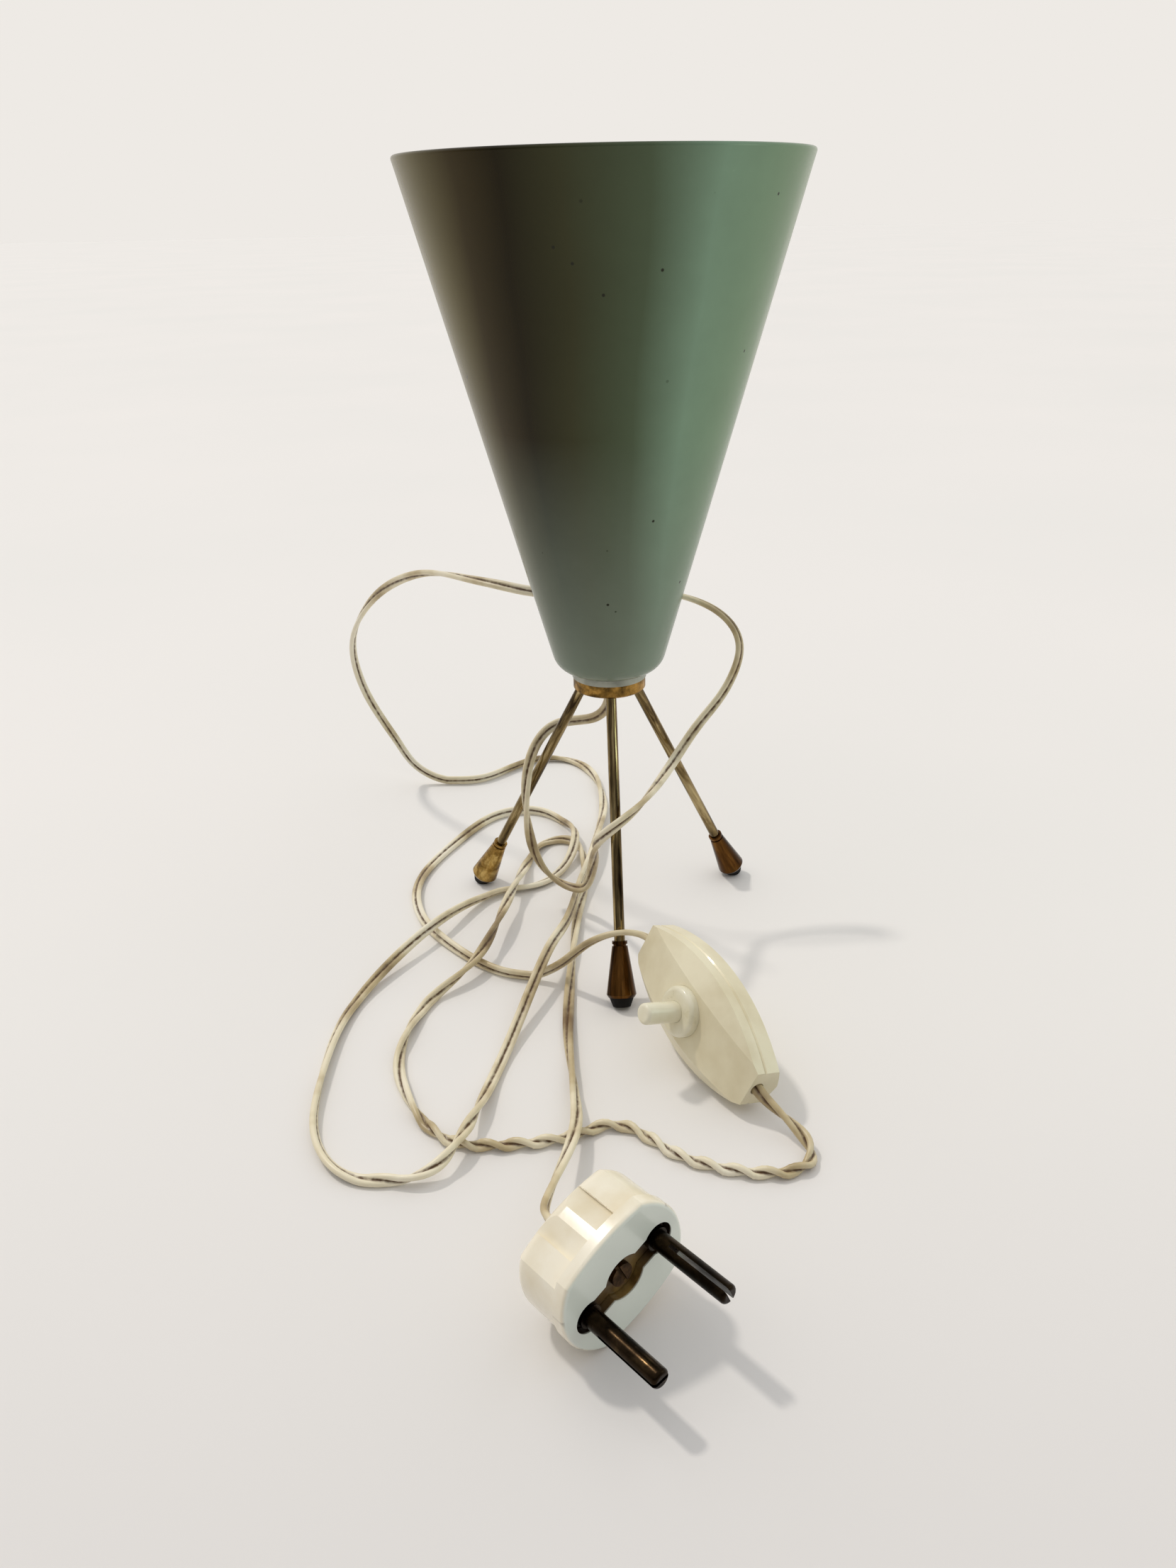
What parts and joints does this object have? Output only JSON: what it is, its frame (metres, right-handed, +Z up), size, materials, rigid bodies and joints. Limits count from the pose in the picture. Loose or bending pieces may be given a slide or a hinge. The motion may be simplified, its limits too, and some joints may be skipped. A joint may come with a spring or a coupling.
{
  "type": "table lamp",
  "caption": "Small tripod table lamp: a conical metal uplighter on straight rod legs, with a trailing flex that carries a push-button switch and a two-pin plug.",
  "frame": {"origin": "on the table, under the middle of the lamp, with the flex, switch and plug left out of the measure", "axes": "+Z up along the lamp's axis; the front leg points along -Y; the other two legs lie to the left and right at the back"},
  "size_m": [0.1385, 0.2936, 0.2107],
  "materials": {
    "enamel": "gloss",
    "washer": "satin",
    "brass": "tarnished",
    "leg_brass": "tarnished",
    "foot_brass": "tarnished",
    "rubber": "worn",
    "bush_plastic": "matt",
    "black_bakelite": "moulded",
    "ceramic": "glazed",
    "contact_brass": "plain",
    "flex_pvc": "aged",
    "cap_metal": "plain",
    "cap_glass": "fused",
    "bulb_glass": "pearl",
    "stem_glass": "clear",
    "ivory_shell": "moulded",
    "ivory_button": "moulded",
    "spring_steel": "plain",
    "ivory_plug": "moulded",
    "brown_bakelite": "moulded",
    "dark_brass": "oxidised"
  },
  "bodies": {
    "lamp": {"shade": "enamel", "shade_washer": "washer", "base_disc": "brass", "leg_front": "leg_brass", "leg_left": "leg_brass", "leg_right": "leg_brass", "foot_front": "foot_brass", "foot_left": "foot_brass", "foot_right": "foot_brass", "foot_tip_front": "rubber", "foot_tip_left": "rubber", "foot_tip_right": "rubber", "nipple": "brass", "cord_bush": "bush_plastic", "shade_nut": "brass", "holder_cap": "black_bakelite", "holder_insert": "ceramic", "holder_sleeve": "black_bakelite", "screw_shell": "contact_brass", "centre_contact": "contact_brass", "holder_screws": "contact_brass", "holder_leads": "flex_pvc", "bulb_cap": "cap_metal", "bulb_tip": "cap_glass", "bulb_glass": "bulb_glass", "bulb_stem": "stem_glass", "lamp_flex": "flex_pvc", "plug_flex": "flex_pvc", "switch_front": "ivory_shell", "switch_back": "ivory_shell", "button_collar": "ivory_button", "button_spring": "spring_steel", "switch_contacts": "contact_brass", "contact_screws": "contact_brass", "switch_screws": "contact_brass", "plug_body": "ivory_plug", "plug_face": "ivory_plug", "plug_insulator": "brown_bakelite", "plug_pin_upper": "dark_brass", "plug_pin_lower": "dark_brass", "pin_screws": "contact_brass", "plug_screw": "contact_brass", "flex_grip": "brown_bakelite"},
    "button": {"push_button": "ivory_button"}
  },
  "joints": [
    {"name": "button_press", "type": "slide", "parent": "lamp", "child": "button", "axis": [0.8385, 0.4525, -0.3034], "range_m": [0, 0.003], "stiffness_N_per_m": 400, "springref_m": -0.002, "deforming": ["button_spring"]}
  ]
}
